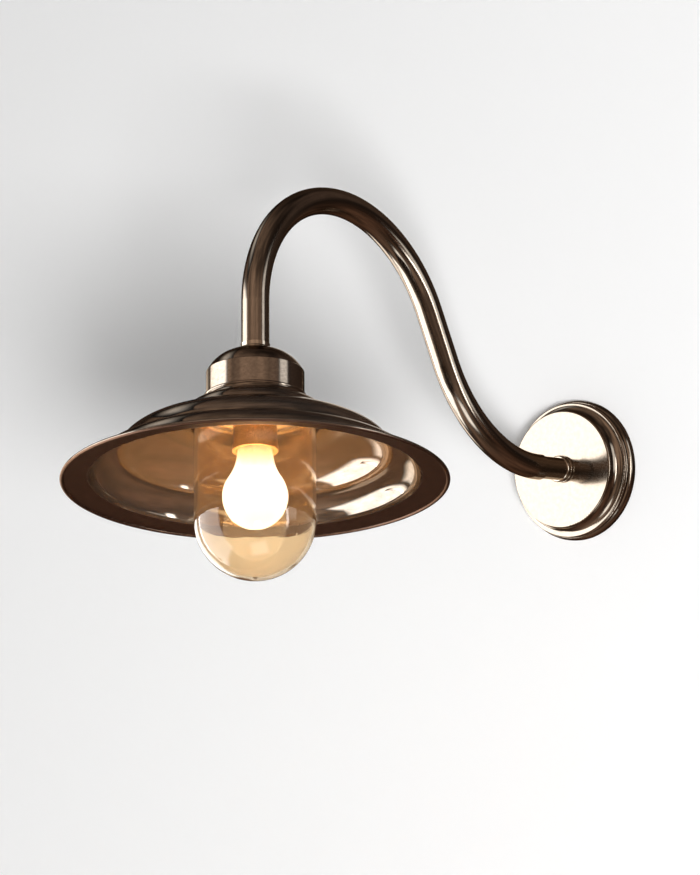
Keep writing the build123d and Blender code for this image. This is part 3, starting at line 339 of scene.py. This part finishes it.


# Shade: spun brass in the same finish. Its brim is matt underneath, and there its colour is a
# painted dark reflection, brown in patches of 7 mm, and its stepped coves are bright.
brim_starts, brim_underside_from = 0.1518, 0.1535
shade_nickel = aged_nickel("aged_nickel_shade", polish=(0.045, 0.09), centre=rim_centre, tilt=lamp_tilt,
                           metallic=0.94)
shade_surface = shade_nickel.node_tree.nodes["Principled BSDF"]
place_on_shade = add(shade_nickel, "SeparateXYZ", {},
                     {"Vector": lathe_place(shade_nickel, rim_centre, lamp_tilt)})
faces_down = add(shade_nickel, "VectorMath", {"operation": "DOT_PRODUCT", 1: lamp_down},
                 {0: add(shade_nickel, "NewGeometry").outputs["True Normal"]})
under = add(shade_nickel, "MapRange", {"From Min": 0.0, "From Max": 0.3},
            {"Value": faces_down.outputs["Value"]})
on_brim = add(shade_nickel, "MapRange", {"From Min": brim_starts, "From Max": brim_underside_from},
              {"Value": place_on_shade.outputs["X"]})
matt_painted_dark_underside = add(shade_nickel, "Math", {"operation": "MULTIPLY"}, {0: under.outputs[0], 1: on_brim.outputs[0]})
patches = speckle(shade_nickel, share=0.02, contrast=0.25)
bright_colour, bright_roughness = (shade_surface.inputs[socket].links[0].from_socket
                                   for socket in ("Base Color", "Roughness"))
# Painted dark reflection: under the brim the colour turns a darker brown, for the dark room it would mirror,
# and the roughness rises for a matt finish.
shade_colour = add(shade_nickel, "MixRGB", {},
                   {"Fac": matt_painted_dark_underside.outputs[0], "Color1": bright_colour,
                    "Color2": two_tone(shade_nickel, patches, "#564238", "#6A5245")})
shade_roughness = add(shade_nickel, "Mix", {},
                      {"Factor": matt_painted_dark_underside.outputs[0], "A": bright_roughness,
                       "B": between(shade_nickel, patches, 0.36, 0.46)})
for socket, mix in (("Base Color", shade_colour), ("Roughness", shade_roughness)):
    shade_nickel.node_tree.links.new(mix.outputs[0], shade_surface.inputs[socket])
wear(shade_nickel, "shade")


# Gallery: the plate that closes the jar's top, spun from brass and left bright. The bulb
# lights it from below, and it is smeared a little in patches of 1 mm.
gallery_brass = blank("bright_spun_brass")
smear = speckle(gallery_brass, share=0.010, contrast=0.25)
finish_with(gallery_brass, {"Metallic": 0.8},
            {"Base Color": two_tone(gallery_brass, smear, "#D9C39C", "#EFDDB8"),
             "Roughness": between(gallery_brass, smear, 0.18, 0.28)})
wear(gallery_brass, "gallery")


# Lampholder: pressed brass shells, bronzed and lacquered, round a glazed porcelain core.
# The brass is golden brown under its lacquer, and the glaze is cream and shiny. The
# terminal block on the wall plate is of the same porcelain.
brass = blank("bronzed_brass")
brass_tone = speckle(brass, share=0.012, contrast=0.25)
finish_with(brass, {"Metallic": 0.9, "Coat Weight": 0.3},
            {"Base Color": two_tone(brass, brass_tone, "#B08850", "#D3AC70"),
             "Roughness": between(brass, brass_tone, 0.22, 0.32)})
wear(brass, "lampholder_cap", "lampholder_shell", "lampholder_ring", "screw_shell", "centre_contact")
porcelain = blank("glazed_porcelain")
glaze_tone = speckle(porcelain, share=0.009, contrast=0.3)
finish_with(porcelain, {"IOR": 1.5},
            {"Base Color": two_tone(porcelain, glaze_tone, "#E9E4D8", "#F4F0E6"),
             "Roughness": between(porcelain, glaze_tone, 0.08, 0.14)})
wear(porcelain, "lampholder_core", "terminal_block")


# Leads: stranded copper in soft PVC sleeves, which run inside the arm from the terminal
# block to the lampholder. Talc from the drawing line dulls them.
for lead, first, second in (("lead_live", "#141414", "#242424"), ("lead_neutral", "#DAD7D0", "#ECEAE4"),
                            ("lead_earth", "#1E6B37", "#2E8549")):
    sleeve = blank(lead + "_pvc")
    talc = speckle(sleeve, share=0.004, contrast=0.3)
    finish_with(sleeve, {"IOR": 1.53}, {"Base Color": two_tone(sleeve, talc, first, second),
                                        "Roughness": between(sleeve, talc, 0.38, 0.55)})
    wear(sleeve, lead)


# Gasket: a flat ring of moulded silicone rubber, pressed between the gallery and the jar's
# lip. It is matt and slightly mottled.
rubber = blank("silicone_rubber")
bloom = speckle(rubber, share=0.003, contrast=0.3)
finish_with(rubber, {"IOR": 1.41}, {"Base Color": two_tone(rubber, bloom, "#2B2927", "#3A3734"),
                                    "Roughness": between(rubber, bloom, 0.55, 0.7)})
wear(rubber, "glass_gasket")


# Glass jar: faintly amber glass blown into a mould, so its walls wave a little, about every
# 22 mm, and hold small seeds. It has a faint painted amber glow for the bulb's light scattered
# in it, and it casts no shadow, so that the lamps reach the bulb and the shade through it.
wave_length, wave_depth = 0.022, 0.0006
jar_glass = blank("blown_clear_glass")
jar_place = add(jar_glass, "TexCoord")
waves = add(jar_glass, "TexNoise", {"Scale": 1 / wave_length, "Detail": 1},
            {"Vector": jar_place.outputs["Object"]})
swell = add(jar_glass, "Bump", {"Strength": 0.6, "Distance": wave_depth}, {"Height": waves.outputs["Fac"]})
finish_with(jar_glass,
            {"Base Color": linear("#F1E0C3"), "Transmission Weight": 1, "IOR": 1.5, "Roughness": 0.0,
             "Emission Color": linear("#FFC795"), "Emission Strength": 0.03},
            {"Normal": swell.outputs["Normal"]})
wear(jar_glass, "glass_jar")
nodes["glass_jar"].visible_shadow = False


# Seeds: the small bubbles of air that stay in blown glass, half a millimetre to a millimetre
# across, in the middle of the jar's wall. Light leaves glass for air in them, so their IOR
# is the inverse of the glass's.
seed_count, smallest_seed, seed_growth = 46, 0.00022, 0.00026
wall_middle, below_top, above_dome = 0.0543, 0.012, 0.098
air = blank("air_in_glass")
skin = speckle(air, share=0.001, contrast=0.3)
finish_with(air, {"Transmission Weight": 1, "IOR": 0.667},
            {"Base Color": two_tone(air, skin, "#FFF9EE", "#FFFFFF"),
             "Roughness": between(air, skin, 0.0, 0.03)})
axis = -lamp_down
jar_top = max((vertex.co - rim_centre).dot(axis) for vertex in nodes["glass_jar"].data.vertices)
sideways = Vector((1, 0, 0))
forwards = axis.cross(sideways)
seed_set(7)
bubbles = bmesh.new()
for _ in range(seed_count):
    chance = random_unit_vector()
    turn = atan2(chance.y, chance.x)
    depth = below_top + (above_dome - below_top) * (0.5 + 0.5 * chance.z)
    radius = smallest_seed + seed_growth * abs(chance.x)
    centre = (rim_centre + axis * (jar_top - depth)
              + wall_middle * (cos(turn) * sideways + sin(turn) * forwards))
    bmesh.ops.create_icosphere(bubbles, subdivisions=2, radius=radius, matrix=Matrix.Translation(centre))
for face in bubbles.faces:
    face.smooth = True
mesh = bpy.data.meshes.new("glass_seeds")
bubbles.to_mesh(mesh)
bubbles.free()
mesh.materials.append(air)
seeds = bpy.data.objects.new("glass_seeds", mesh)
bpy.context.scene.collection.objects.link(seeds)
seeds.visible_shadow = False
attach(seeds, "jar")


# Bulb's envelope: blown glass with a thin coat of white powder inside, lit. It glows white
# round the filament and turns amber and clearer towards its neck.
glow_drop, white_within, amber_beyond = 0.012, 0.026, 0.050
bulb_low, bulb_high = (Vector(corner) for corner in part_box("bulb_glass"))
bulb_centre = (bulb_low + bulb_high) / 2
envelope = blank("lit_soft_white_bulb_glass")
point = add(envelope, "TexCoord").outputs["Object"]
from_glow = add(envelope, "VectorMath", {"operation": "DISTANCE", 1: bulb_centre - Vector((0, 0, glow_drop))},
                {0: point})
away = add(envelope, "MapRange", {"From Min": white_within, "From Max": amber_beyond},
           {"Value": from_glow.outputs["Value"]}).outputs["Result"]
powder = speckle(envelope, share=0.004, contrast=0.4)
finish_with(envelope, {"Transmission Weight": 1.0, "IOR": 1.5},
            {"Base Color": two_tone(envelope, powder, "#FFF3DC", "#FFFAEE"),
             "Emission Color": two_tone(envelope, away, "#FFF9F4", "#FFC27C"),
             "Roughness": between(envelope, powder, 0.2, 0.3),
             "Emission Strength": between(envelope, away, 0.85, 0.03)})
wear(envelope, "bulb_glass")
nodes["bulb_glass"].visible_shadow = False


# Bulb's foot: a screw cap pressed from aluminium, black glass run in under it, and a button
# of solder on the end. The cap screws into the lampholder.
aluminium = blank("pressed_aluminium")
rolled = speckle(aluminium, share=0.002, contrast=0.3)
finish_with(aluminium, {"Metallic": 1}, {"Base Color": two_tone(aluminium, rolled, "#B9B7B2", "#D6D4CE"),
                                         "Roughness": between(aluminium, rolled, 0.22, 0.35)})
wear(aluminium, "bulb_cap")
black_glass = blank("black_vitrite")
ripple = speckle(black_glass, share=0.003, contrast=0.3)
finish_with(black_glass, {"IOR": 1.52}, {"Base Color": two_tone(black_glass, ripple, "#070708", "#131214"),
                                         "Roughness": between(black_glass, ripple, 0.05, 0.12)})
wear(black_glass, "bulb_insulator")
solder = blank("tin_solder")
dross = speckle(solder, share=0.001, contrast=0.3)
finish_with(solder, {"Metallic": 1}, {"Base Color": two_tone(solder, dross, "#8F9092", "#B9BABB"),
                                      "Roughness": between(solder, dross, 0.3, 0.5)})
wear(solder, "bulb_contact")


# Stem and filament: a drawn lead-glass stem sealed into the bulb's neck, which carries a
# tungsten wire that glows yellow-white.
stem_glass = blank("lead_glass_stem")
draw_lines = speckle(stem_glass, share=0.003, contrast=0.3)
finish_with(stem_glass, {"Transmission Weight": 0.9, "IOR": 1.56},
            {"Base Color": two_tone(stem_glass, draw_lines, "#EBDCC0", "#F6EBD6"),
             "Roughness": between(stem_glass, draw_lines, 0.02, 0.08)})
wear(stem_glass, "bulb_stem")
tungsten = blank("glowing_tungsten")
heat = speckle(tungsten, share=0.002, contrast=0.3)
finish_with(tungsten, {"Metallic": 1, "Roughness": 0.4, "Emission Color": linear("#FFD08A")},
            {"Base Color": two_tone(tungsten, heat, "#6A6258", "#8A8278"),
             "Emission Strength": between(tungsten, heat, 6, 9)})
wear(tungsten, "bulb_filament")


# The filament's light: a warm lamp in the bulb that shines up the lamp's axis, on the
# gallery and the inside of the shade. It leaves out the bulb, whose glow is in its own glass,
# and the jar round it, whose glow is painted into its glass.
light_drop = 0.010
filament_light = bpy.data.lights.new("filament_light", "SPOT")
filament_light.energy = 8
filament_light.color = linear("#FFB870")[:3]
filament_light.shadow_soft_size = 0.02
filament_light.spot_size = radians(166)
filament_light.spot_blend = 0.2
glow_lamp = bpy.data.objects.new("filament_light", filament_light)
glow_lamp.location = bulb_centre - Vector((0, 0, light_drop))
glow_lamp.rotation_mode = "QUATERNION"
glow_lamp.rotation_quaternion = axis.to_track_quat("-Z", "Y")
glow_lamp.visible_camera = False
glow_lamp.visible_transmission = False
bpy.context.scene.collection.objects.link(glow_lamp)
left_out = bpy.data.collections.new("glass_not_lit_by_the_filament_light")
for node_name in ("bulb_glass", "bulb_stem", "bulb_filament", "glass_jar"):
    left_out.objects.link(nodes[node_name])
for member in left_out.collection_objects:
    member.light_linking.link_state = "EXCLUDE"
glow_lamp.light_linking.receiver_collection = left_out


# View: the picture shows colours as the lamps light them, through the plain Standard view.
bpy.context.scene.view_settings.view_transform = "Standard"
